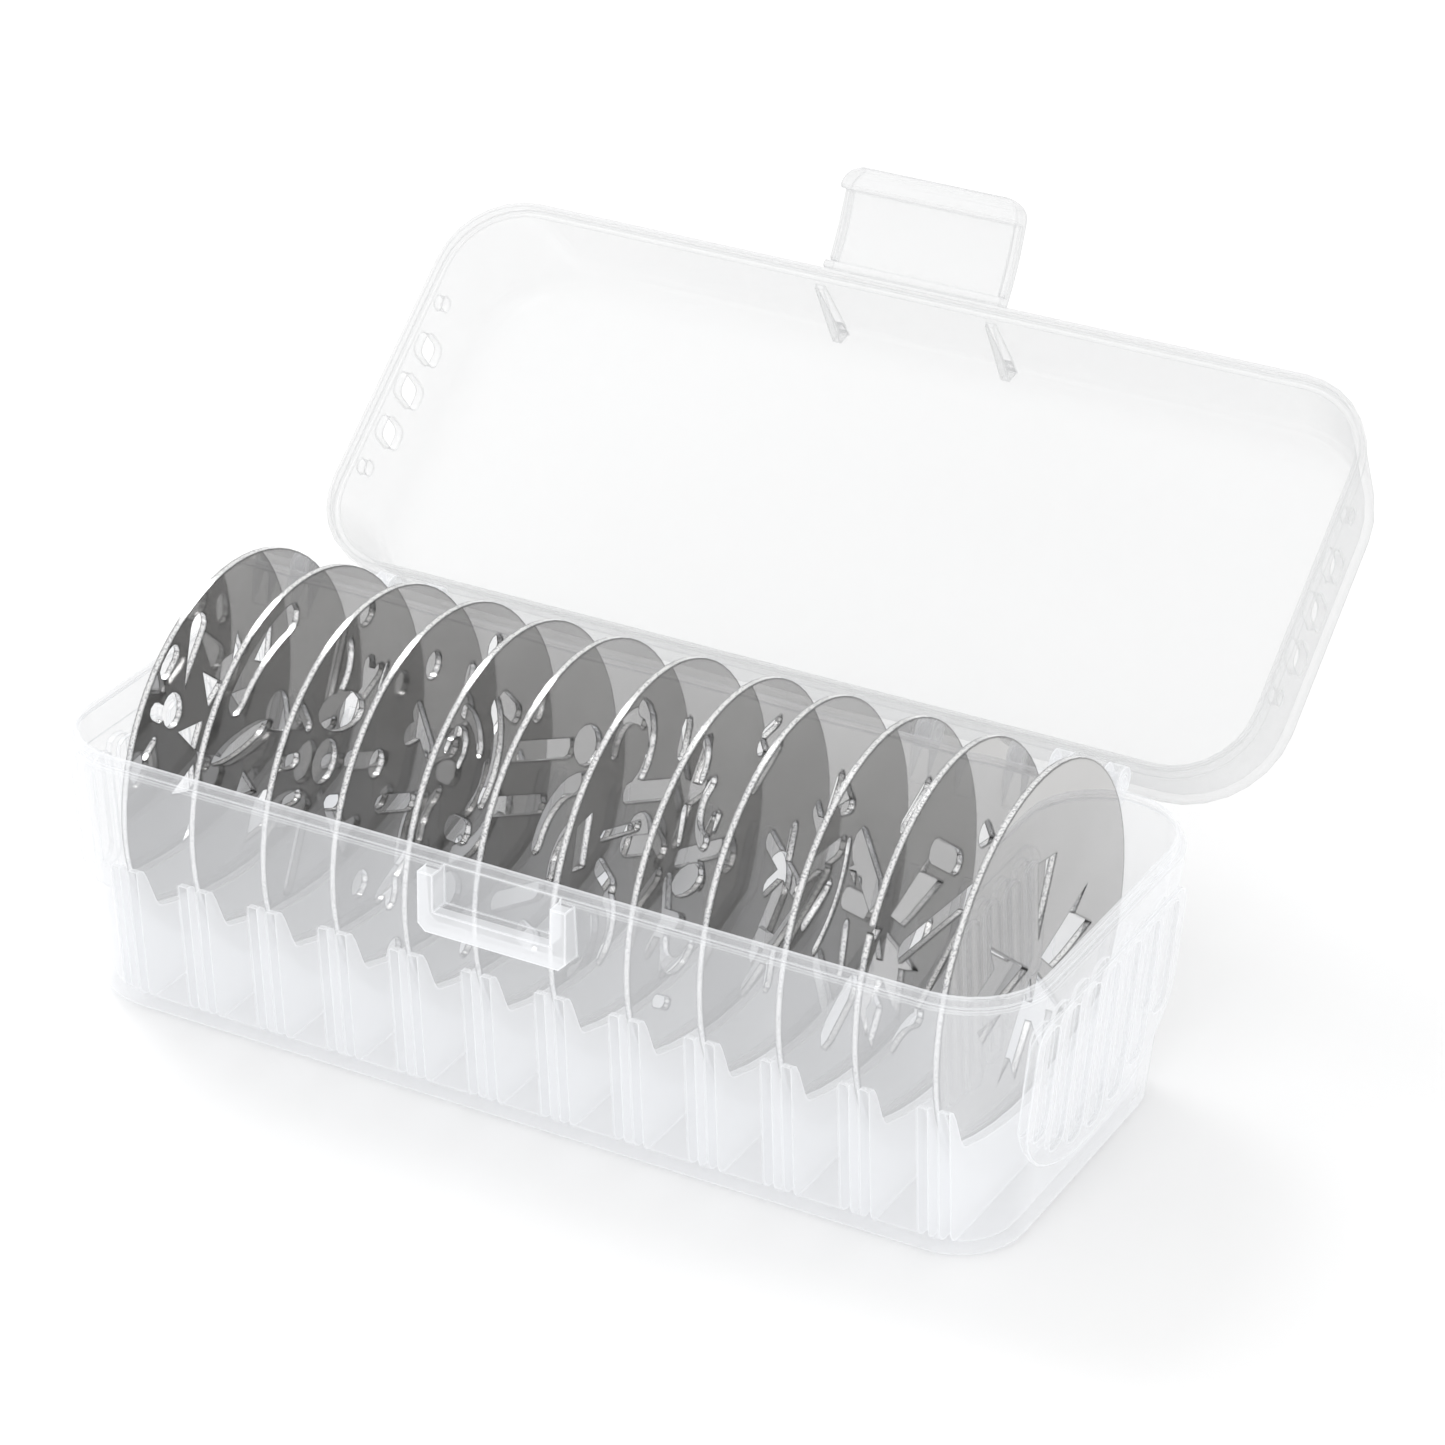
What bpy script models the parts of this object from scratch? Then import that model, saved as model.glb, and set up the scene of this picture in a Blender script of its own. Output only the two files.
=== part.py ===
"""A hinged storage case holding twelve slotted cookie discs, standing open. Metres, +Z up, X along the row."""

import math

import bmesh
import bpy
from mathutils import Matrix, Vector

MM = 0.001

# Case, in millimetres. Lengths run along X, widths along Y.
CASE_HEIGHT = 41.8
LEDGE_Z = 40.2
TOP_LENGTH, TOP_WIDTH, TOP_CORNER = 150.6, 63.9, 12.6
FOOT_LENGTH, FOOT_WIDTH, FOOT_CORNER = 144.6, 56.4, 10.2
WALL = 1.5
FLOOR = 1.3
LIP_INSET = 0.95
LIP_INNER_INSET = 1.75
FOOT_ROUND = 2.2
CORNER_STEPS = 7

# Discs and the rib pairs that hold them.
DISC_COUNT = 12
DISC_PITCH = 11.45
DISC_RADIUS = 28.5
DISC_THICKNESS = 1.0
DISC_CENTRE_Z = 30.2
DISC_LEAN_DEG = (0.7, 0.3, 0.7, 0.3, 0.3, -0.6, 0.1, 0.5, -0.5, 0.1, -0.4, 0.1)
DISC_SEGMENTS = 64
RIB_THICKNESS = 1.4
RIB_OFFSET = 1.5
RIB_POST_Z = 22.9
RIB_SCOOP_Z = 14.9
RIB_MIDDLE_Z = 11.0
RIB_POST_Y = 27.9
RIB_SCOOP_Y = 22.6

# Lid, drawn closed and then swung open about its hinge.
SEAT_GAP = 0.3
LID_DEPTH = 21.0
LID_WALL = 1.4
LID_ROUND = 5.5
LID_CROWN = 0.5
LID_END_DRAFT, LID_FRONT_DRAFT, LID_BACK_DRAFT = 0.25, 0.15, 1.7
LID_CORNER_GROWTH = 2.7
BEAD_DEPTH = 2.5
OPEN_DEG = 140.55
HINGE_Y, HINGE_Z = 34.5, 40.95
PIN_RADIUS = 1.0
EAR_BORE = 1.09
CLIP_BORE = 1.09
EAR_RADIUS = 2.25
CLIP_RADIUS = 2.2
HINGE_X = 54.9
EAR_OFFSET = 4.0
EAR_THICKNESS = 2.6
CLIP_LENGTH = 4.6
GUSSET_X = (-14.9, 13.1)

# Latch, drawn hanging closed and then folded back to where it stands.
LATCH_Y, LATCH_Z = -32.75, 41.0
LATCH_FOLD_DEG = 65.6
LATCH_HALF_WIDTH = 14.4
LATCH_LENGTH = 15.0
LATCH_INSIDE = -1.75
LATCH_WALL = 1.0
LATCH_BOW = 0.5
LATCH_HOOK = 1.1
KEEPER_HALF_WIDTH = 11.4
KEEPER_FRONT_Y = -34.2
KEEPER_FOOT_Z = 31.0

# Fluted grip pad moulded on each end wall.
GRIP_Z = 21.0
GRIP_HALF_WIDTH = 23.4
GRIP_TOP = 14.2
GRIP_DROP = 14.0
GRIP_RISE = 0.3
FLUTE_COUNT = 7
FLUTE_PITCH = 6.3
FLUTE_WIDTH = 4.7
FLUTE_DEPTH = 0.5

CLEAR_PLASTIC = (0.86, 0.88, 0.90, 1.0)
STEEL = (0.56, 0.57, 0.58, 1.0)


# ---------------------------------------------------------------- scene helpers

def clear_scene():
    for obj in list(bpy.data.objects):
        bpy.data.objects.remove(obj)


def collection(name, hidden=False):
    made = bpy.data.collections.new(name)
    bpy.context.scene.collection.children.link(made)
    made.hide_render = hidden
    return made


def plastic(name):
    made = bpy.data.materials.new(name)
    made.use_nodes = True
    shader = made.node_tree.nodes["Principled BSDF"]
    shader.inputs["Base Color"].default_value = CLEAR_PLASTIC
    shader.inputs["Roughness"].default_value = 0.28
    shader.inputs["Transmission Weight"].default_value = 0.8
    shader.inputs["IOR"].default_value = 1.49
    return made


def steel(name):
    made = bpy.data.materials.new(name)
    made.use_nodes = True
    shader = made.node_tree.nodes["Principled BSDF"]
    shader.inputs["Base Color"].default_value = STEEL
    shader.inputs["Roughness"].default_value = 0.12
    shader.inputs["Metallic"].default_value = 1.0
    return made


def object_from(bm, name, into, material=None):
    """Turn a bmesh drawn in millimetres into an object."""
    bmesh.ops.recalc_face_normals(bm, faces=bm.faces)
    bmesh.ops.scale(bm, vec=Vector((MM, MM, MM)), verts=bm.verts)
    mesh = bpy.data.meshes.new(name)
    bm.to_mesh(mesh)
    bm.free()
    obj = bpy.data.objects.new(name, mesh)
    into.objects.link(obj)
    if material:
        mesh.materials.append(material)
    return obj


def helper(bm, name):
    """A cutter or filler: an object that Booleans use and nothing renders."""
    obj = object_from(bm, name, HELPERS)
    obj.hide_render = True
    obj.display_type = "WIRE"
    return obj


def combine(target, other, operation):
    step = target.modifiers.new(other.name, "BOOLEAN")
    step.operation = operation
    step.solver = "EXACT"
    step.use_self = True
    step.object = other


def add(target, bm, name):
    combine(target, helper(bm, name), "UNION")


def cut(target, bm, name):
    combine(target, helper(bm, name), "DIFFERENCE")


def smooth(obj, angle_deg=32.0):
    obj.data.shade_smooth()
    obj.data.set_sharp_from_angle(angle=math.radians(angle_deg))


# ---------------------------------------------------------------- outline helpers

def arc(centre_a, centre_b, radius, start_deg, end_deg, steps):
    points = []
    for step in range(steps + 1):
        angle = math.radians(start_deg + (end_deg - start_deg) * step / steps)
        points.append((centre_a + radius * math.cos(angle), centre_b + radius * math.sin(angle)))
    return points


def rounded_rectangle(half_a, half_b, radius, steps):
    """Outline centred on zero, turning from the first axis to the second."""
    inner_a, inner_b = half_a - radius, half_b - radius
    corners = ((inner_a, inner_b, 0), (-inner_a, inner_b, 90), (-inner_a, -inner_b, 180), (inner_a, -inner_b, 270))
    points = []
    for centre_a, centre_b, start in corners:
        points += arc(centre_a, centre_b, radius, start, start + 90, steps)
    return points


def bar(start, end, width, steps=4):
    """Outline of a straight slot with round ends."""
    heading = math.degrees(math.atan2(end[1] - start[1], end[0] - start[0]))
    points = arc(end[0], end[1], width / 2, heading - 90, heading + 90, steps)
    return points + arc(start[0], start[1], width / 2, heading + 90, heading + 270, steps)


def oval(centre, half_long, half_short, tilt_deg, steps=14):
    tilt = math.radians(tilt_deg)
    points = []
    for step in range(steps):
        turn = 2 * math.pi * step / steps
        along, across = half_long * math.cos(turn), half_short * math.sin(turn)
        points.append((
            centre[0] + along * math.cos(tilt) - across * math.sin(tilt),
            centre[1] + along * math.sin(tilt) + across * math.cos(tilt),
        ))
    return points


def crescent(centre, radius, start_deg, end_deg, width, steps=7):
    """Outline of a slot that follows a circle and has round ends."""
    first, last = math.radians(start_deg), math.radians(end_deg)
    outer = arc(centre[0], centre[1], radius + width / 2, start_deg, end_deg, steps)
    inner = arc(centre[0], centre[1], radius - width / 2, end_deg, start_deg, steps)
    tip = (centre[0] + radius * math.cos(last), centre[1] + radius * math.sin(last))
    tail = (centre[0] + radius * math.cos(first), centre[1] + radius * math.sin(first))
    end_cap = arc(tip[0], tip[1], width / 2, end_deg, end_deg + 180, 4)[1:-1]
    start_cap = arc(tail[0], tail[1], width / 2, start_deg + 180, start_deg + 360, 4)[1:-1]
    return outer + end_cap + inner + start_cap


def teardrop(centre, radius, tip, steps=8):
    """A round head drawn out to a point."""
    reach = math.hypot(tip[0] - centre[0], tip[1] - centre[1])
    heading = math.degrees(math.atan2(tip[1] - centre[1], tip[0] - centre[0]))
    spread = math.degrees(math.acos(radius / reach))
    return [tip] + arc(centre[0], centre[1], radius, heading + spread, heading + 360 - spread, steps)


def turned(outline, angle_deg):
    angle = math.radians(angle_deg)
    cosine, sine = math.cos(angle), math.sin(angle)
    return [(a * cosine - b * sine, a * sine + b * cosine) for a, b in outline]


def ring_of(outlines, count, first_deg=0.0):
    """Copies of some outlines, turned evenly about the disc's centre."""
    return [turned(one, first_deg + 360 * turn / count) for turn in range(count) for one in outlines]


# ---------------------------------------------------------------- solid helpers

def prism(bm, outline, low, high, axis):
    """Closed solid: an outline in the other two axes, in XYZ order, run from low to high along axis."""
    def place(point, along):
        coordinates = list(point)
        coordinates.insert("XYZ".index(axis), along)
        return coordinates

    bottom = [bm.verts.new(place(point, low)) for point in outline]
    top = [bm.verts.new(place(point, high)) for point in outline]
    bm.faces.new(bottom)
    bm.faces.new(top)
    count = len(outline)
    for index in range(count):
        following = (index + 1) % count
        bm.faces.new((bottom[index], bottom[following], top[following], top[index]))


def box(bm, low, high):
    outline = ((low[0], low[1]), (high[0], low[1]), (high[0], high[1]), (low[0], high[1]))
    prism(bm, outline, low[2], high[2], "Z")


def loft(bm, rings):
    """Closed solid through rings of equal point counts, capped at both ends."""
    rows = [[bm.verts.new(point) for point in ring] for ring in rings]
    for lower, upper in zip(rows, rows[1:]):
        for index in range(len(lower)):
            following = (index + 1) % len(lower)
            bm.faces.new((lower[index], lower[following], upper[following], upper[index]))
    bm.faces.new(rows[0])
    bm.faces.new(rows[-1])


def fillet_rows(inset, level, radius, start_deg, end_deg, steps):
    """(inset, level) pairs round a fillet; 0 degrees points outwards and 90 degrees up."""
    rows = []
    for step in range(steps + 1):
        angle = math.radians(start_deg + (end_deg - start_deg) * step / steps)
        rows.append((inset - radius * math.cos(angle), level + radius * math.sin(angle)))
    return rows


# ---------------------------------------------------------------- case

def case_size(z):
    """Half length, half width and corner radius of the drafted outer wall at a height."""
    share = z / LEDGE_Z
    half_length = (FOOT_LENGTH + (TOP_LENGTH - FOOT_LENGTH) * share) / 2
    half_width = (FOOT_WIDTH + (TOP_WIDTH - FOOT_WIDTH) * share) / 2
    return half_length, half_width, FOOT_CORNER + (TOP_CORNER - FOOT_CORNER) * share


def case_ring(inset, z):
    half_length, half_width, corner = case_size(z)
    outline = rounded_rectangle(half_length - inset, half_width - inset, corner - inset, CORNER_STEPS)
    return [(x, y, z) for x, y in outline]


def case_shell():
    inner_round = FOOT_ROUND - WALL + 1.4
    rows = fillet_rows(FOOT_ROUND, FOOT_ROUND, FOOT_ROUND, -90, 0, 4)
    rows += [
        (0.0, LEDGE_Z - 0.3),
        (0.25, LEDGE_Z),
        (LIP_INSET, LEDGE_Z),
        (LIP_INSET, CASE_HEIGHT - 0.3),
        (LIP_INSET + 0.25, CASE_HEIGHT),
        (LIP_INNER_INSET - 0.25, CASE_HEIGHT),
        (LIP_INNER_INSET, CASE_HEIGHT - 0.3),
        (WALL, CASE_HEIGHT - 4.5),
    ]
    rows += fillet_rows(WALL + inner_round, FLOOR + inner_round, inner_round, 0, -90, 4)
    bm = bmesh.new()
    loft(bm, [case_ring(inset, z) for inset, z in rows])
    return bm


def rib_outline():
    """Half a rib, mirrored: a post at the wall, an S-curve down, then a shallow scoop under the disc."""
    def edge(z):
        return case_size(z)[1] - 0.65

    side = [(26.3, 0.7), (edge(3.5), 3.5), (edge(RIB_POST_Z), RIB_POST_Z)]
    swing = []
    for step in range(7):
        share = step / 6
        y = RIB_POST_Y + (RIB_SCOOP_Y - RIB_POST_Y) * share
        z = RIB_SCOOP_Z + (RIB_POST_Z - RIB_SCOOP_Z) * (1 + math.cos(math.pi * share)) / 2
        swing.append((y, z))
    scoop = []
    for step in range(1, 5):
        y = RIB_SCOOP_Y * (1 - step / 4)
        z = RIB_MIDDLE_Z + (RIB_SCOOP_Z - RIB_MIDDLE_Z) * (y / RIB_SCOOP_Y) ** 2
        scoop.append((y, z))
    half = side + swing + scoop
    return half + [(-y, z) for y, z in reversed(half[:-1])]


def slot_centres():
    return [(index - (DISC_COUNT - 1) / 2) * DISC_PITCH for index in range(DISC_COUNT)]


def ribs():
    bm = bmesh.new()
    for centre in slot_centres():
        for offset in (-RIB_OFFSET, RIB_OFFSET):
            low = centre + offset - RIB_THICKNESS / 2
            prism(bm, rib_outline(), low, low + RIB_THICKNESS, "X")
    return bm


def keeper():
    """The U-shaped frame on the front wall that the latch hooks under."""
    wide, thick, top = KEEPER_HALF_WIDTH, 2.4, LEDGE_Z - 0.25
    foot, sill, chamfer = KEEPER_FOOT_Z, KEEPER_FOOT_Z + 3.3, 1.1
    right = [(wide - thick, sill), (wide - thick, top), (wide, top), (wide, foot + chamfer), (wide - chamfer, foot)]
    left = [(-x, z) for x, z in reversed(right)]
    bm = bmesh.new()
    prism(bm, left + right, KEEPER_FRONT_Y, -30.7, "Y")
    return bm


def keeper_pocket():
    """Clears the ledge inside the keeper so that the latch can sit there."""
    bm = bmesh.new()
    wide = KEEPER_HALF_WIDTH - 2.4
    box(bm, (-wide, -33.0, KEEPER_FOOT_Z + 3.3), (wide, -TOP_WIDTH / 2 + 0.75, LEDGE_Z + 0.2))
    return bm


def grip_outline():
    top = arc(GRIP_HALF_WIDTH - 3, GRIP_TOP - 3, 3, 0, 90, 4)
    top += arc(3 - GRIP_HALF_WIDTH, GRIP_TOP - 3, 3, 90, 180, 4)
    return top + oval((0, 0), GRIP_HALF_WIDTH, GRIP_DROP, 180, 36)[0:19]


def flutes(low, high):
    """Upright flutes under the grip's straight top, each as long as its rounded foot allows."""
    bm = bmesh.new()
    half = FLUTE_WIDTH / 2
    for index in range(FLUTE_COUNT):
        y = (index - (FLUTE_COUNT - 1) / 2) * FLUTE_PITCH
        foot = 1.6 - GRIP_DROP * math.sqrt(1 - ((abs(y) + half) / GRIP_HALF_WIDTH) ** 2)
        top = GRIP_TOP - 1.4
        outline = rounded_rectangle(half, (top - foot) / 2, 1.6, 2)
        outline = [(across + y, along + (top + foot) / 2) for across, along in outline]
        prism(bm, outline, low, high, "X")
    return bm


def on_end_wall(bm, side):
    """Move a shape drawn about X = 0 onto an end wall, tilted with its draft."""
    half_length = case_size(GRIP_Z)[0]
    draft = math.atan((TOP_LENGTH - FOOT_LENGTH) / 2 / LEDGE_Z)
    place = Matrix.Translation((half_length, 0, GRIP_Z)) @ Matrix.Rotation(draft, 4, "Y")
    if side < 0:
        place = Matrix.Rotation(math.pi, 4, "Z") @ place
    bmesh.ops.transform(bm, matrix=place, verts=bm.verts)
    return bm


def ear():
    """Plate that carries the hinge pin behind the back wall."""
    head = arc(HINGE_Y, HINGE_Z, EAR_RADIUS, -50, 180, 12)
    return head + [(HINGE_Y - EAR_RADIUS, LEDGE_Z - 0.6), (30.8, LEDGE_Z - 0.6), (30.8, 33.5)]


def ears():
    bm = bmesh.new()
    for side in (-1, 1):
        for offset in (-EAR_OFFSET, EAR_OFFSET):
            middle = side * HINGE_X + offset
            prism(bm, ear(), middle - EAR_THICKNESS / 2, middle + EAR_THICKNESS / 2, "X")
    return bm


def hinge_bores(radius):
    bm = bmesh.new()
    for side in (-1, 1):
        reach = EAR_OFFSET + EAR_THICKNESS
        hole = arc(HINGE_Y, HINGE_Z, radius, 0, 345, 23)
        prism(bm, hole, side * HINGE_X - reach, side * HINGE_X + reach, "X")
    return bm


def case_body(parts):
    case = object_from(case_shell(), "case", parts, plastic("case_plastic"))
    add(case, ribs(), "rib_fill")
    for side, word in ((1, "right"), (-1, "left")):
        pad = bmesh.new()
        prism(pad, grip_outline(), -1.1, GRIP_RISE, "X")
        add(case, on_end_wall(pad, side), "grip_pad_" + word)
        add(case, on_end_wall(flutes(-WALL - FLUTE_DEPTH, -1.2), side), "grip_lining_" + word)
        cut(case, on_end_wall(flutes(-FLUTE_DEPTH, 3), side), "grip_flutes_" + word)
    add(case, keeper(), "keeper_fill")
    cut(case, keeper_pocket(), "keeper_pocket")
    add(case, ears(), "ear_fill")
    cut(case, hinge_bores(EAR_BORE), "ear_bores")
    smooth(case)
    return case


# ---------------------------------------------------------------- lid, drawn closed

def lid_ring(inset, depth):
    """Outline at a depth, moved in by inset: above the straight bead the wall drafts and its corners widen."""
    share = (depth - BEAD_DEPTH) / (LID_DEPTH - LID_ROUND - BEAD_DEPTH)
    share = min(max(share, 0.0), 1.0)
    ends, front, back = LID_END_DRAFT * share, LID_FRONT_DRAFT * share, LID_BACK_DRAFT * share
    half_length = TOP_LENGTH / 2 - ends - inset
    half_width = TOP_WIDTH / 2 - (front + back) / 2 - inset
    corner = max(TOP_CORNER + LID_CORNER_GROWTH * share - inset, 0.4)
    outline = rounded_rectangle(half_length, half_width, corner, CORNER_STEPS)
    return [(x, y + (front - back) / 2, LEDGE_Z + SEAT_GAP + depth) for x, y in outline]


def lid_shell():
    skirt, shelf = 0.7, 1.5
    bead = 0.3
    outer_round, inner_round = LID_ROUND, LID_ROUND - LID_WALL
    shoulder = LID_DEPTH - LID_ROUND
    crown = [(26.0, LID_DEPTH + LID_CROWN), (16.0, LID_DEPTH + 0.6 * LID_CROWN)]
    outer = fillet_rows(bead + outer_round, shoulder, outer_round, 90, 0, 5)
    rim = [
        (bead, BEAD_DEPTH + 0.3),
        (0.0, BEAD_DEPTH),
        (0.0, 0.25),
        (0.2, 0.0),
        (skirt, 0.0),
        (skirt, shelf),
        (bead + LID_WALL, shelf),
    ]
    inner = fillet_rows(bead + outer_round, shoulder, inner_round, 0, 90, 5)
    lining = [(inset, depth - LID_WALL) for inset, depth in reversed(crown)]
    bm = bmesh.new()
    loft(bm, [lid_ring(inset, depth) for inset, depth in crown + outer + rim + inner + lining])
    return bm


def lid_vents():
    """Three tall vents and two pinholes through each end wall."""
    level = LEDGE_Z + SEAT_GAP + 7.6
    shapes = [(0.0, 1.95, 3.3), (7.4, 1.85, 2.9), (-7.4, 1.85, 2.9), (14.6, 1.0, 1.2), (-14.6, 1.0, 1.2)]
    bm = bmesh.new()
    for middle, half_wide, half_tall in shapes:
        drop = 0.0 if half_wide > 1.5 else 1.9
        outline = rounded_rectangle(half_wide, half_tall, half_wide * 0.7, 4)
        outline = [(y + middle, z + level - drop) for y, z in outline]
        for side in (-1, 1):
            prism(bm, outline, side * TOP_LENGTH / 2 - 5, side * TOP_LENGTH / 2 + 5, "X")
    return bm


def lid_fittings():
    """Hinge clips behind, and two gussets behind the latch in front."""
    seat = LEDGE_Z + SEAT_GAP
    bm = bmesh.new()
    clip = arc(HINGE_Y, HINGE_Z, CLIP_RADIUS, 180, 435, 16)
    clip += [(30.6, seat + 4.8), (31.4, seat + 0.5)]
    for side in (-1, 1):
        prism(bm, clip, side * HINGE_X - CLIP_LENGTH / 2, side * HINGE_X + CLIP_LENGTH / 2, "X")
    gusset = [(-30.9, seat + 2.9), (-29.6, seat + 2.9), (-27.6, seat + 15.6), (-29.9, seat + 16.8)]
    for middle in GUSSET_X:
        prism(bm, gusset, middle - 0.7, middle + 0.7, "X")
    return bm


def lid_body(parts, pivot):
    lid = object_from(moved(lid_shell(), pivot), "lid", parts, plastic("lid_plastic"))
    add(lid, moved(lid_fittings(), pivot), "lid_fittings")
    cut(lid, moved(lid_vents(), pivot), "lid_vents")
    cut(lid, moved(hinge_bores(CLIP_BORE), pivot), "clip_bores")
    smooth(lid)
    return lid


def moved(bm, pivot):
    """Put a shape's origin on the axis it turns about."""
    bmesh.ops.translate(bm, vec=(0, -pivot[0], -pivot[1]), verts=bm.verts)
    return bm


# ---------------------------------------------------------------- latch, drawn hanging from its own axis

def latch_profile():
    """Side view: a rolled top, a slightly bowed plate with one ridge, and a thick hook along the free edge."""
    plate_foot = 3.6 - LATCH_LENGTH
    inside, outside = [], []
    for step in range(7):
        share = step / 6
        z = 0.1 + (plate_foot - 0.1) * share
        bow = LATCH_BOW * math.sin(math.pi * share)
        inside.append((LATCH_INSIDE - bow, z))
        outside.append((LATCH_INSIDE - LATCH_WALL - bow, z))
    ridge = [(-3.15, -3.3), (-3.15, -3.0)]
    hook = arc(LATCH_HOOK - 0.8, plate_foot - 0.8, 0.8, 90, 0, 3)
    hook += arc(LATCH_HOOK - 1.4, 1.4 - LATCH_LENGTH, 1.4, 0, -90, 4)
    hook += arc(-1.5, 1.6 - LATCH_LENGTH, 1.6, -90, -180, 4)
    top = [(LATCH_INSIDE - LATCH_WALL, 0.45), (LATCH_INSIDE - LATCH_WALL + 0.25, 0.7)]
    root = [(-0.7, 0.6)] + arc(0, 0, 0.6, 90, -90, 8) + [(LATCH_INSIDE, -0.6)]
    outer_side = [point for point in reversed(outside) if point[1] < -3.6] + ridge
    outer_side += [point for point in reversed(outside) if point[1] > -2.8]
    return root + inside[1:] + hook + outer_side + top


def latch_outline():
    """Front view, with the round corners of the free edge."""
    wide, low, high = LATCH_HALF_WIDTH, -LATCH_LENGTH - 0.1, 2.0
    outline = [(wide, high), (-wide, high)]
    outline += arc(3.6 - wide, low + 3.6, 3.6, 180, 270, 6)
    return outline + arc(wide - 3.6, low + 3.6, 3.6, 270, 360, 6)


def latch_edges():
    """A bead down each side, standing in from the plate beside the keeper."""
    side_view = [(LATCH_INSIDE - 0.5, 0.3), (LATCH_INSIDE + 0.8, -1.2), (LATCH_INSIDE + 0.5, -6.0)]
    side_view += [(LATCH_INSIDE + 0.8, 2.4 - LATCH_LENGTH), (LATCH_INSIDE - 0.9, 2.4 - LATCH_LENGTH)]
    side_view += [(LATCH_INSIDE - 0.9, -6.0)]
    bm = bmesh.new()
    for side in (-1, 1):
        near, far = sorted((side * (LATCH_HALF_WIDTH - 1.15), side * (LATCH_HALF_WIDTH - 0.1)))
        prism(bm, side_view, near, far, "X")
    return bm


def latch_body(parts):
    strip = bmesh.new()
    prism(strip, latch_profile(), -LATCH_HALF_WIDTH, LATCH_HALF_WIDTH, "X")
    latch = object_from(strip, "latch", parts, plastic("latch_plastic"))
    add(latch, latch_edges(), "latch_edges")
    trim = bmesh.new()
    prism(trim, latch_outline(), -6.0, 4.0, "Y")
    combine(latch, helper(trim, "latch_trim"), "INTERSECT")
    smooth(latch)
    return latch


# ---------------------------------------------------------------- disc patterns, as (Y, Z) from the centre

def sunburst():
    ray = [(17.8, 0.0), (11.9, 2.2), (11.9, -2.2)]
    cluster = [
        teardrop((-9.9, 22.8), 2.0, (-13.8, 14.6)),
        bar((-18.0, 19.6), (-16.2, 21.0), 3.2),
        oval((-16.8, 12.6), 2.9, 2.4, 110),
        bar((-21.0, 14.4), (-19.6, 13.2), 2.6),
        bar((-23.6, 8.6), (-21.6, 9.8), 1.6),
    ]
    return ring_of([ray], 12, 1.0) + ring_of(cluster, 3)


def ribbons():
    half = [
        crescent((0.0, 0.0), 24.2, 98, 135, 4.5),
        oval((-16.8, 10.6), 7.2, 1.7, 0),
        teardrop((-7.4, 11.4), 2.9, (-3.8, 6.4)),
        [(-16.2, 5.8), (-19.0, 2.2), (-13.0, 1.0)],
        teardrop((-11.5, -2.5), 3.0, (-16.5, -5.5)),
    ]
    return ring_of(half, 2)


def flowers():
    half = [
        oval((-13.4, 9.2), 3.3, 3.3, 0),
        oval((-8.9, 15.0), 6.4, 2.9, -22),
        crescent((-12.3, 23.2), 5.8, -56, 14, 1.8),
        bar((-18.8, 19.6), (-17.2, 16.4), 1.7),
        bar((-23.0, 13.4), (-20.8, 12.8), 2.2),
        bar((-23.4, 7.4), (-20.4, 7.0), 2.0),
        bar((-12.8, 2.4), (-9.6, 1.0), 2.2),
    ]
    return ring_of(half, 2) + [bar((0.9, 14.3), (3.0, 17.0), 1.1)]


def snowburst():
    arm = bar((9.6, 0.0), (18.6, 0.0), 2.6)
    twig = bar((15.4, 1.2), (16.6, 3.6), 3.2)
    dot = oval((22.5, 0.0), 2.1, 2.1, 0, 12)
    return ring_of([arm], 8, 22.0) + ring_of([twig], 4, 20.0) + ring_of([dot], 8, 7.0)


def crescents():
    half = [
        crescent((-15.1, 15.8), 10.7, -54, 23, 2.7),
        crescent((-18.5, 15.5), 9.1, -4, 56, 1.9),
        crescent((-15.8, 18.2), 2.7, -70, 150, 1.6),
        bar((-17.2, 7.0), (-13.4, 4.2), 3.5),
    ]
    return ring_of(half, 2) + [oval((-13.2, -13.6), 1.8, 1.8, 0, 12)]


def sprig():
    half = [
        oval((1.4, 13.9), 4.4, 2.9, -35),
        crescent((-4.6, 0.6), 9.2, 62, 150, 3.2),
        crescent((-3.0, -2.8), 6.2, 100, 168, 2.3),
        bar((-17.2, -6.0), (-13.4, -10.0), 3.0),
    ]
    return ring_of(half, 2)


def sleigh():
    return [
        crescent((-8.0, 20.6), 6.1, -82, 58, 2.4),
        bar((7.9, 17.0), (6.6, 14.0), 3.2),
        bar((-8.6, 14.4), (15.4, 4.4), 3.0),
        bar((-15.4, 11.0), (-5.6, 7.9), 1.5),
        bar((-8.8, 6.2), (7.0, -0.6), 2.9),
        bar((-16.4, 6.8), (-12.8, 1.6), 2.6),
        [(-22.2, 15.6), (-18.0, 16.0), (-20.2, 8.6), (-23.6, 9.4)],
        crescent((-18.4, -2.6), 5.6, -60, 40, 2.6),
        bar((-6.0, -10.0), (6.0, -14.0), 3.0),
    ]


def wreath():
    lobe = crescent((14.6, 0.0), 4.6, -12, 124, 2.3, 10)
    spoke = bar((21.8, 6.6), (18.4, 9.2), 1.7)
    hook = crescent((-11.4, 23.2), 3.5, -56, 40, 1.8)
    eye = oval((-12.8, 6.3), 4.9, 2.3, -20)
    leaf = [(-6.3, 10.6), (-4.9, 13.4), (-3.4, 12.0), (-5.3, 10.0)]
    singles = [hook, leaf, turned(eye, 180), turned(hook, 180), teardrop((7.4, 17.3), 1.3, (9.8, 15.2))]
    return ring_of([lobe, spoke], 5, 112.0) + [eye] + singles


def star_flake():
    arm = bar((3.2, 0.0), (17.2, 0.0), 2.8)
    branches = [bar((9.0, 0.0), (12.0, side * 4.6), 2.5) for side in (-1, 1)]
    return ring_of([arm] + branches, 5, 53.0)


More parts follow.
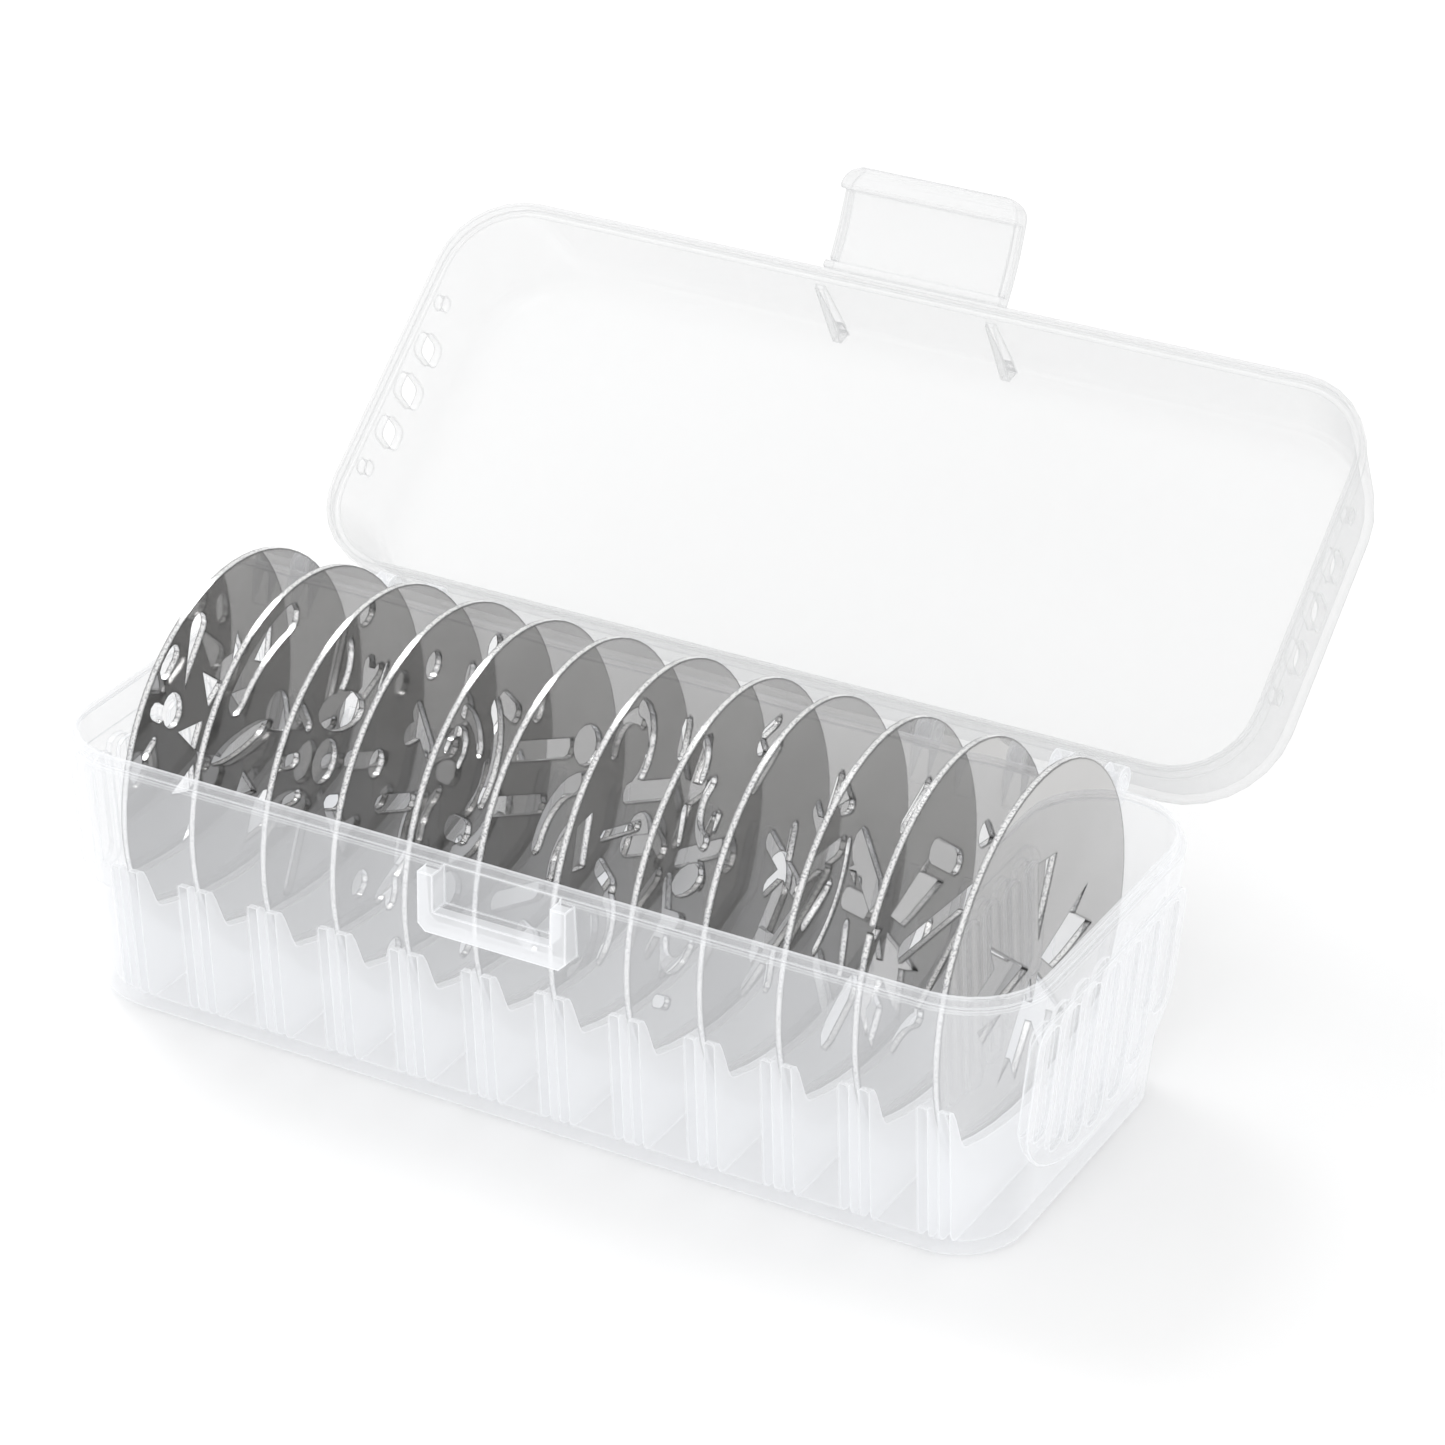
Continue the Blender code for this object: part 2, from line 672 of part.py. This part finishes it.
def foliage():
    return [
        bar((-7.1, 15.4), (-1.4, 4.6), 4.9),
        [(-10.2, 13.4), (-7.9, 12.8), (-8.2, 9.6)],
        crescent((-26.0, 20.0), 15.8, -66, -10, 1.6),
        bar((-10.6, 4.6), (-11.8, -2.0), 2.2),
        bar((-22.8, 11.0), (-16.0, 13.4), 1.9),
        bar((-12.4, 23.2), (-9.8, 22.4), 1.9),
        bar((-14.4, -9.6), (-8.6, -6.4), 5.2),
        bar((7.0, -14.0), (14.0, -8.0), 5.0),
        bar((6.0, 12.0), (13.0, 15.0), 2.4),
    ]


def palm():
    return [
        bar((-7.4, 17.7), (-0.2, 12.4), 3.5),
        bar((-16.0, 6.8), (8.0, 5.0), 3.2),
        bar((-11.0, -4.2), (4.0, 3.2), 2.2),
        teardrop((8.0, 12.9), 1.9, (11.6, 10.4)),
        crescent((-14.0, -13.4), 8.0, 62, 118, 2.4),
        [(-25.0, 14.9), (-22.4, 13.4), (-24.6, 12.6)],
        [(-26.4, 3.4), (-23.6, 4.6), (-21.6, 1.0), (-24.4, -3.6), (-25.6, -1.0)],
        bar((10.0, -4.0), (18.0, -10.0), 3.2),
        bar((2.0, -10.0), (6.0, -20.0), 3.2),
    ]


def bolts():
    kite = [(2.0, 0.3), (16.2, 4.8), (12.3, 1.9), (18.3, -2.4), (10.0, -3.4), (6.3, -3.5)]
    return [
        [(-0.6, 15.6), (5.3, 14.7), (0.8, 3.6)],
        kite,
        [(-2.0, 0.5), (-14.5, 10.0), (-12.8, 6.0), (-18.3, 4.3), (-9.5, -0.3)],
        [(-1.2, -1.4), (-4.6, -5.2), (-10.0, -13.0), (-6.4, -11.0), (-4.6, -15.2), (0.4, -8.0)],
        [(-17.4, -1.2), (-15.4, -4.0), (-10.2, -2.2)],
        turned(kite, -66),
    ]


def disc_body(parts, name, centre_x, lean_deg, holes):
    outline = arc(0, 0, DISC_RADIUS, 0, 360 - 360 / DISC_SEGMENTS, DISC_SEGMENTS - 1)
    blank = bmesh.new()
    prism(blank, outline, -DISC_THICKNESS / 2, DISC_THICKNESS / 2, "X")
    disc = object_from(blank, name, parts, steel(name + "_steel"))
    cutter = bmesh.new()
    for hole in holes:
        prism(cutter, hole, -DISC_THICKNESS, DISC_THICKNESS, "X")
    punch = helper(cutter, name + "_punch")
    combine(disc, punch, "DIFFERENCE")
    lean = math.radians(lean_deg)
    rise = DISC_RADIUS * math.cos(lean)
    place = (centre_x + DISC_RADIUS * math.sin(lean), 0, DISC_CENTRE_Z - DISC_RADIUS + rise)
    for obj in (disc, punch):
        obj.location = Vector(place) * MM
        obj.rotation_euler.y = lean
    smooth(disc)
    return disc


def disc_patterns():
    return {
        "disc_01_sunburst": sunburst(),
        "disc_02_ribbons": ribbons(),
        "disc_03_flowers": flowers(),
        "disc_04_snowburst": snowburst(),
        "disc_05_crescents": crescents(),
        "disc_06_sprig": sprig(),
        "disc_07_sleigh": sleigh(),
        "disc_08_wreath": wreath(),
        "disc_09_star_flake": star_flake(),
        "disc_10_foliage": foliage(),
        "disc_11_palm": palm(),
        "disc_12_bolts": bolts(),
    }


# ---------------------------------------------------------------- hinge pins and assembly

def hinge_pin(parts, name, side):
    bm = bmesh.new()
    reach = EAR_OFFSET + EAR_THICKNESS / 2
    prism(bm, arc(0, 0, PIN_RADIUS, 0, 345, 23), -reach, reach, "X")
    pin = object_from(bm, name, parts, plastic(name + "_plastic"))
    pin.location = Vector((side * HINGE_X, HINGE_Y, HINGE_Z)) * MM
    smooth(pin)
    return pin


def swing(target, pivot, angle_deg):
    """Turn a body and its helpers about their shared axis along X."""
    cutters = [step.object for step in target.modifiers if step.type == "BOOLEAN"]
    for obj in [target] + cutters:
        obj.location = Vector((0, pivot[0], pivot[1])) * MM
        obj.rotation_euler.x = math.radians(angle_deg)


def rotated_point(point, pivot, angle_deg):
    angle = math.radians(angle_deg)
    y, z = point[0] - pivot[0], point[1] - pivot[1]
    return (
        pivot[0] + y * math.cos(angle) - z * math.sin(angle),
        pivot[1] + y * math.sin(angle) + z * math.cos(angle),
    )


def build():
    parts = collection("disc_storage_case")
    case_body(parts)
    hinge = (HINGE_Y, HINGE_Z)
    swing(lid_body(parts, hinge), hinge, -OPEN_DEG)
    latch_axis = rotated_point((LATCH_Y, LATCH_Z), hinge, -OPEN_DEG)
    swing(latch_body(parts), latch_axis, -OPEN_DEG - LATCH_FOLD_DEG)
    hinge_pin(parts, "hinge_pin_left", -1)
    hinge_pin(parts, "hinge_pin_right", 1)
    for place, lean, (name, holes) in zip(slot_centres(), DISC_LEAN_DEG, disc_patterns().items()):
        disc_body(parts, name, place, lean, holes)


clear_scene()
HELPERS = collection("helpers", hidden=True)
build()
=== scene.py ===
"""Looks for the open storage case and its twelve slotted discs: plastic, steel, floor, light and camera."""

import math

import bpy
from mathutils import Matrix, Vector

SMOOTH_ANGLE = math.radians(32)
WELD_DISTANCE = 0.000002

CAMERA_AZIMUTH = math.radians(27.98)
CAMERA_ELEVATION = math.radians(27.59)
CAMERA_ROLL = math.radians(1.16)
CAMERA_DISTANCE = 0.7074
CAMERA_TARGET = Vector((-0.0009, 0.0316, 0.0353))
CAMERA_LENS = 123.6

WORLD_STRENGTH = 0.89
FLOOR_REACH = 4.0
# Painted shade: the grey that the plastic turns where it is seen side on.
SIDE_ON_PAINTED_SHADE = (0.22, 0.23, 0.25)
# Painted dark reflection: the near-black line along the steel's rolled edges.
ROLLED_EDGE_PAINTED_DARK = (0.04, 0.04, 0.04)

# Where the case's plastic is thick: its ribs lie inboard of its ends, its keeper ahead of its front wall.
RIB_REACH = 0.068
RIB_FACING = 0.8
KEEPER_REACH = 0.0118
KEEPER_WALL_Y = -0.0325
THICK_HAZE = 0.35
# Along the plastic's edges the haze is denser; with the painted glow it reads as a painted highlight line.
EDGE_HAZE_PAINTED_HIGHLIGHT = 0.6


# ---------------------------------------------------------------- node helpers

def new_material(name):
    made = bpy.data.materials.new(name)
    made.use_nodes = True
    return made, made.node_tree, made.node_tree.nodes["Principled BSDF"]


def add_node(tree, kind, **settings):
    node = tree.nodes.new(kind)
    for key, value in settings.items():
        setattr(node, key, value)
    return node


def noise(tree, vector, scale, detail, stretch=None):
    """Noise over the object's own coordinates, drawn out along an axis if stretch is given."""
    if stretch:
        mapping = add_node(tree, "ShaderNodeMapping")
        mapping.inputs["Scale"].default_value = stretch
        tree.links.new(vector, mapping.inputs["Vector"])
        vector = mapping.outputs["Vector"]
    node = add_node(tree, "ShaderNodeTexNoise")
    node.inputs["Scale"].default_value = scale
    node.inputs["Detail"].default_value = detail
    tree.links.new(vector, node.inputs["Vector"])
    return node.outputs["Fac"]


def spread(tree, value, low, high, start=0.3, end=0.7):
    """Remap a 0 to 1 value to a range."""
    node = add_node(tree, "ShaderNodeMapRange")
    node.inputs["From Min"].default_value = start
    node.inputs["From Max"].default_value = end
    node.inputs["To Min"].default_value = low
    node.inputs["To Max"].default_value = high
    tree.links.new(value, node.inputs["Value"])
    return node.outputs["Result"]


def blend_colours(tree, factor, first, second):
    """Mix two colours, each a socket or a plain colour."""
    node = add_node(tree, "ShaderNodeMix", data_type="RGBA")
    for socket, colour in ((node.inputs[6], first), (node.inputs[7], second)):
        if isinstance(colour, tuple):
            socket.default_value = (*colour, 1.0)
        else:
            tree.links.new(colour, socket)
    tree.links.new(factor, node.inputs[0])
    return node.outputs[2]


def bump(tree, height, strength, distance, normal=None):
    node = add_node(tree, "ShaderNodeBump")
    node.inputs["Strength"].default_value = strength
    node.inputs["Distance"].default_value = distance
    tree.links.new(height, node.inputs["Height"])
    if normal:
        tree.links.new(normal, node.inputs["Normal"])
    return node.outputs["Normal"]


def math_node(tree, operation, first, second, clamp=False):
    """A sum, product or comparison of two values, each a socket or a number."""
    node = add_node(tree, "ShaderNodeMath", operation=operation, use_clamp=clamp)
    for value, socket in ((first, node.inputs[0]), (second, node.inputs[1])):
        if isinstance(value, float):
            socket.default_value = value
        else:
            tree.links.new(value, socket)
    return node.outputs[0]


# ---------------------------------------------------------------- materials

def edge_mask(tree, radius, start, end):
    """1 along edges and 0 on open faces, from how far a rounded edge would turn the normal."""
    rounded = add_node(tree, "ShaderNodeBevel", samples=4)
    rounded.inputs["Radius"].default_value = radius
    true_normal = add_node(tree, "ShaderNodeNewGeometry").outputs["True Normal"]
    agreement = add_node(tree, "ShaderNodeVectorMath", operation="DOT_PRODUCT")
    tree.links.new(rounded.outputs["Normal"], agreement.inputs[0])
    tree.links.new(true_normal, agreement.inputs[1])
    return spread(tree, agreement.outputs["Value"], 1.0, 0.0, start, end)


def thick_places(tree, texture):
    """1 on the case's rib plates and on the keeper's bars, which are thicker and whiter than its walls."""
    place = add_node(tree, "ShaderNodeSeparateXYZ")
    normal = add_node(tree, "ShaderNodeSeparateXYZ")
    tree.links.new(texture.outputs["Object"], place.inputs["Vector"])
    tree.links.new(texture.outputs["Normal"], normal.inputs["Vector"])
    sideways = math_node(tree, "ABSOLUTE", place.outputs["X"], 0.0)
    turned = math_node(tree, "ABSOLUTE", normal.outputs["X"], 0.0)
    across = math_node(tree, "GREATER_THAN", turned, RIB_FACING)
    inboard = math_node(tree, "LESS_THAN", sideways, RIB_REACH)
    ahead = math_node(tree, "LESS_THAN", place.outputs["Y"], KEEPER_WALL_Y)
    central = math_node(tree, "LESS_THAN", sideways, KEEPER_REACH)
    rib = math_node(tree, "MULTIPLY", across, inboard)
    keeper = math_node(tree, "MULTIPLY", ahead, central)
    return math_node(tree, "MAXIMUM", rib, keeper)


def frosted_plastic(name, haze, roughness, tint, painted_inner_glow, ribbed=False):
    """Milky polypropylene: clear film and white haze, whiter where it is seen side on, with a painted
    highlight line along edges and painted shade, a grey outline, where it turns fully side on.

    Its inner-light argument sets a painted glow, a white emission standing in for the light that scatters
    about inside the walls, which a plain surface can't carry.
    """
    made, tree, shader = new_material(name)
    texture = add_node(tree, "ShaderNodeTexCoord")
    place = texture.outputs["Object"]
    cloud = noise(tree, place, 45.0, 3.0)
    grain = noise(tree, place, 900.0, 2.0)
    paler = tuple(min(1.0, channel * 1.03) for channel in tint)
    milk = blend_colours(tree, cloud, tint, paler)
    tree.links.new(spread(tree, cloud, roughness * 0.75, roughness * 1.3), shader.inputs["Roughness"])
    tree.links.new(bump(tree, grain, 0.06, 0.0001), shader.inputs["Normal"])

    # Painted glow: white emission standing in for light scattered inside the plastic.
    shader.inputs["Emission Color"].default_value = (1.0, 1.0, 1.0, 1.0)
    shader.inputs["Emission Strength"].default_value = painted_inner_glow

    side_on = add_node(tree, "ShaderNodeLayerWeight")
    side_on.inputs["Blend"].default_value = 0.3
    # Painted shade: the colour greys to an outline where the surface turns side on.
    side_on_painted_shade = spread(tree, side_on.outputs["Facing"], 0.0, 0.8, 0.6, 0.95)
    tree.links.new(blend_colours(tree, side_on_painted_shade, milk, SIDE_ON_PAINTED_SHADE), shader.inputs["Base Color"])

    film = spread(tree, side_on.outputs["Facing"], haze, 0.9, 0.35, 1.0)
    # Denser haze along edges, a painted highlight line once it carries the painted glow.
    edge = edge_mask(tree, 0.0006, 0.80, 0.99)
    total = math_node(tree, "ADD", film, math_node(tree, "MULTIPLY", edge, EDGE_HAZE_PAINTED_HIGHLIGHT), clamp=True)
    if ribbed:
        extra = math_node(tree, "MULTIPLY", thick_places(tree, texture), THICK_HAZE)
        total = math_node(tree, "ADD", total, extra, clamp=True)
    tree.links.new(total, shader.inputs["Alpha"])
    return made


def polished_steel(name, seed):
    """Mirror-polished sheet, rubbed fine, its cut walls given a speckled painted highlight and its
    rolled-over edges a painted dark reflection line.
    """
    made, tree, shader = new_material(name)
    texture = add_node(tree, "ShaderNodeTexCoord")
    offset = add_node(tree, "ShaderNodeMapping")
    offset.inputs["Location"].default_value = (0.0, seed * 0.13, seed * 0.07)
    tree.links.new(texture.outputs["Object"], offset.inputs["Vector"])
    place = offset.outputs["Vector"]
    shader.inputs["Metallic"].default_value = 0.92

    facing = add_node(tree, "ShaderNodeSeparateXYZ")
    tree.links.new(texture.outputs["Normal"], facing.inputs["Vector"])
    flat = math_node(tree, "ABSOLUTE", facing.outputs["X"], 0.0)
    edge = spread(tree, flat, 1.0, 0.0, 0.45, 0.6)

    cloud = noise(tree, place, 30.0, 2.0)
    rubbed = noise(tree, place, 500.0, 4.0, (1.0, 0.12, 2.2))
    chips = noise(tree, place, 3200.0, 2.0)
    face_colour = blend_colours(tree, cloud, (0.46, 0.456, 0.452), (0.64, 0.636, 0.63))
    speckle = spread(tree, chips, 0.0, 1.0, 0.38, 0.50)
    # Painted highlight: the cut walls are coloured brighter than the faces, speckled; their rougher, chipped
    # finish is their own.
    cut_wall_painted_highlight = blend_colours(tree, speckle, (0.66, 0.66, 0.67), (0.93, 0.93, 0.93))
    colour = blend_colours(tree, edge, face_colour, cut_wall_painted_highlight)
    # Painted dark reflection: a near-black line where the edges roll over.
    rolled_edge_painted_dark = math_node(tree, "MULTIPLY", edge_mask(tree, 0.0005, 0.93, 0.998), 0.95)
    tree.links.new(blend_colours(tree, rolled_edge_painted_dark, colour, ROLLED_EDGE_PAINTED_DARK), shader.inputs["Base Color"])

    face_rough = spread(tree, rubbed, 0.015, 0.05)
    rough = add_node(tree, "ShaderNodeMix", data_type="FLOAT")
    tree.links.new(edge, rough.inputs[0])
    tree.links.new(face_rough, rough.inputs[2])
    rough.inputs[3].default_value = 0.16
    tree.links.new(rough.outputs[0], shader.inputs["Roughness"])

    rounded = add_node(tree, "ShaderNodeBevel")
    rounded.inputs["Radius"].default_value = 0.0003
    marks = bump(tree, rubbed, 0.02, 0.00005, rounded.outputs["Normal"])
    height = math_node(tree, "MULTIPLY", chips, edge)
    tree.links.new(bump(tree, height, 0.06, 0.0001, marks), shader.inputs["Normal"])
    return made


def pale_floor():
    made, tree, shader = new_material("floor_paper")
    place = add_node(tree, "ShaderNodeTexCoord").outputs["Object"]
    cloud = noise(tree, place, 3.0, 2.0)
    grain = noise(tree, place, 600.0, 2.0)
    paper = blend_colours(tree, cloud, (0.93, 0.93, 0.93), (0.95, 0.95, 0.95))
    tree.links.new(paper, shader.inputs["Base Color"])
    shader.inputs["Roughness"].default_value = 0.75
    shader.inputs["Specular IOR Level"].default_value = 0.2
    tree.links.new(bump(tree, grain, 0.08, 0.0003), shader.inputs["Normal"])
    return made


# ---------------------------------------------------------------- surfaces

def smoothing_group():
    """Welds a solid's triangles and shades it smooth except over sharp edges."""
    group = bpy.data.node_groups.new("smooth_by_angle", "GeometryNodeTree")
    group.interface.new_socket("Geometry", in_out="INPUT", socket_type="NodeSocketGeometry")
    group.interface.new_socket("Geometry", in_out="OUTPUT", socket_type="NodeSocketGeometry")
    start = group.nodes.new("NodeGroupInput")
    end = group.nodes.new("NodeGroupOutput")
    weld = group.nodes.new("GeometryNodeMergeByDistance")
    weld.inputs["Distance"].default_value = WELD_DISTANCE
    faces = group.nodes.new("GeometryNodeSetShadeSmooth")
    edges = group.nodes.new("GeometryNodeSetShadeSmooth")
    edges.domain = "EDGE"
    angle = group.nodes.new("GeometryNodeInputMeshEdgeAngle")
    gentle = group.nodes.new("FunctionNodeCompare")
    gentle.operation = "LESS_THAN"
    gentle.inputs["B"].default_value = SMOOTH_ANGLE
    group.links.new(angle.outputs["Unsigned Angle"], gentle.inputs["A"])
    group.links.new(gentle.outputs["Result"], edges.inputs["Shade Smooth"])
    group.links.new(start.outputs[0], weld.inputs["Geometry"])
    group.links.new(weld.outputs["Geometry"], faces.inputs["Geometry"])
    group.links.new(faces.outputs["Geometry"], edges.inputs["Geometry"])
    group.links.new(edges.outputs["Geometry"], end.inputs[0])
    return group


def dress(obj, material, smoothing):
    obj.data.materials.clear()
    obj.data.materials.append(material)
    step = obj.modifiers.new("smooth_by_angle", "NODES")
    step.node_group = smoothing


def dress_all(nodes):
    smoothing = smoothing_group()
    # One plastic in three copies, each with a painted glow; the lid and latch copies are greyer and glow
    # less, which is painted shade.
    case_look = frosted_plastic("case_plastic", 0.235, 0.16, (0.60, 0.612, 0.635), 0.31, ribbed=True)
    lid_painted_shade_copy = frosted_plastic("lid_plastic", 0.20, 0.16, (0.57, 0.575, 0.58), 0.13)
    latch_painted_shade_copy = frosted_plastic("latch_plastic", 0.28, 0.16, (0.58, 0.585, 0.59), 0.15)
    looks = {"case": case_look, "lid": lid_painted_shade_copy, "latch": latch_painted_shade_copy}
    for seed, (name, obj) in enumerate(sorted(nodes.items())):
        if name.startswith("disc"):
            dress(obj, polished_steel(name + "_steel", seed), smoothing)
        else:
            dress(obj, looks.get(name, case_look), smoothing)


# ---------------------------------------------------------------- stage

def floor():
    bpy.ops.mesh.primitive_plane_add(size=FLOOR_REACH, location=(0, 0, -0.0002))
    obj = bpy.context.object
    obj.name = "floor"
    obj.data.materials.append(pale_floor())


def soft_light(name, place, aim, size, power):
    data = bpy.data.lights.new(name, "AREA")
    data.shape = "DISK"
    data.size = size
    data.energy = power
    obj = bpy.data.objects.new(name, data)
    bpy.context.scene.collection.objects.link(obj)
    obj.location = place
    obj.rotation_mode = "QUATERNION"
    obj.rotation_quaternion = (Vector(aim) - Vector(place)).to_track_quat("-Z", "Y")


def studio():
    world = bpy.data.worlds.new("studio")
    world.use_nodes = True
    sky = world.node_tree.nodes["Background"]
    sky.inputs["Color"].default_value = (1.0, 1.0, 1.0, 1.0)
    sky.inputs["Strength"].default_value = WORLD_STRENGTH
    scene = bpy.context.scene
    scene.world = world
    scene.view_settings.view_transform = "Standard"
    soft_light("key", (-0.75, 0.35, 0.95), (0, 0, 0), 0.55, 3.6)
    soft_light("fill", (0.2, -0.9, 0.7), (0, 0, 0.03), 0.7, 3.2)


def camera():
    back = Vector((
        math.sin(CAMERA_AZIMUTH) * math.cos(CAMERA_ELEVATION),
        -math.cos(CAMERA_AZIMUTH) * math.cos(CAMERA_ELEVATION),
        math.sin(CAMERA_ELEVATION),
    ))
    level = Vector((math.cos(CAMERA_AZIMUTH), math.sin(CAMERA_AZIMUTH), 0))
    upright = back.cross(level)
    right = level * math.cos(CAMERA_ROLL) + upright * math.sin(CAMERA_ROLL)
    up = upright * math.cos(CAMERA_ROLL) - level * math.sin(CAMERA_ROLL)
    data = bpy.data.cameras.new("camera")
    data.sensor_width = 36.0
    data.lens = CAMERA_LENS
    data.clip_start = 0.01
    obj = bpy.data.objects.new("camera", data)
    bpy.context.scene.collection.objects.link(obj)
    turn = Matrix((right, up, back)).transposed().to_4x4()
    turn.translation = CAMERA_TARGET + back * CAMERA_DISTANCE
    obj.matrix_world = turn
    bpy.context.scene.camera = obj


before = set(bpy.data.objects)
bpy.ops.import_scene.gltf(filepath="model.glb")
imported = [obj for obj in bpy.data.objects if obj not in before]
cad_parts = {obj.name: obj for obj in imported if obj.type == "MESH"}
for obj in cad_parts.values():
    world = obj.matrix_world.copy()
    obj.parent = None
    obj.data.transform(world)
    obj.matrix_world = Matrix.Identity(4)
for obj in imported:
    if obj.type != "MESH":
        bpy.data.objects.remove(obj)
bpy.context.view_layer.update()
dress_all(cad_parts)
floor()
studio()
camera()
